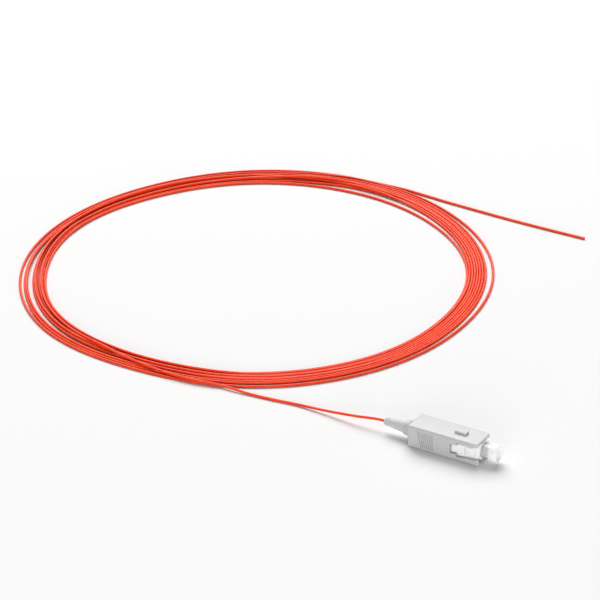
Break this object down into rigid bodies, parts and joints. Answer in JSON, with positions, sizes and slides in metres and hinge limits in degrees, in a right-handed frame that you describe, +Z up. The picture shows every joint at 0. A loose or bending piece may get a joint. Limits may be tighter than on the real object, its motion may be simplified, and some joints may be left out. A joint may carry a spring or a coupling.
{
  "type": "fibre optic pigtail",
  "caption": "Fibre optic pigtail: buffered optical fibre in a loose coil, with a square push-pull connector, boot and dust cap at one end and a bare cut end at the other.",
  "frame": {"origin": "on the floor under the middle of the connector's length, boot tip to dust cap, cord left out", "axes": "+X along the connector towards its mating end and dust cap; +Z up, away from the side the connector lies on; the coil lies towards -X and +Y"},
  "size_m": [0.2142, 0.1639, 0.0082],
  "materials": {
    "grip_plastic": "satin",
    "plug_plastic": "satin",
    "zirconia": "polished",
    "steel": "plain",
    "boot_rubber": "matte",
    "cap_plastic": "translucent",
    "fibre_buffer": "satin"
  },
  "bodies": {
    "plug": {"plug_body": "plug_plastic", "ferrule": "zirconia", "ferrule_spring": "steel", "rear_body": "steel", "boot": "boot_rubber", "fibre_coil": "fibre_buffer", "fibre_lead": "fibre_buffer", "fibre_tail": "fibre_buffer"},
    "grip": {"grip": "grip_plastic"},
    "dust_cap": {"dust_cap": "cap_plastic"}
  },
  "joints": [
    {"name": "grip_slide", "type": "slide", "parent": "plug", "child": "grip", "axis": [1, 0, 0], "range_m": [-0.002, 0]},
    {"name": "cap_pull", "type": "slide", "parent": "plug", "child": "dust_cap", "axis": [1, 0, 0], "range_m": [0, 0.015]}
  ]
}
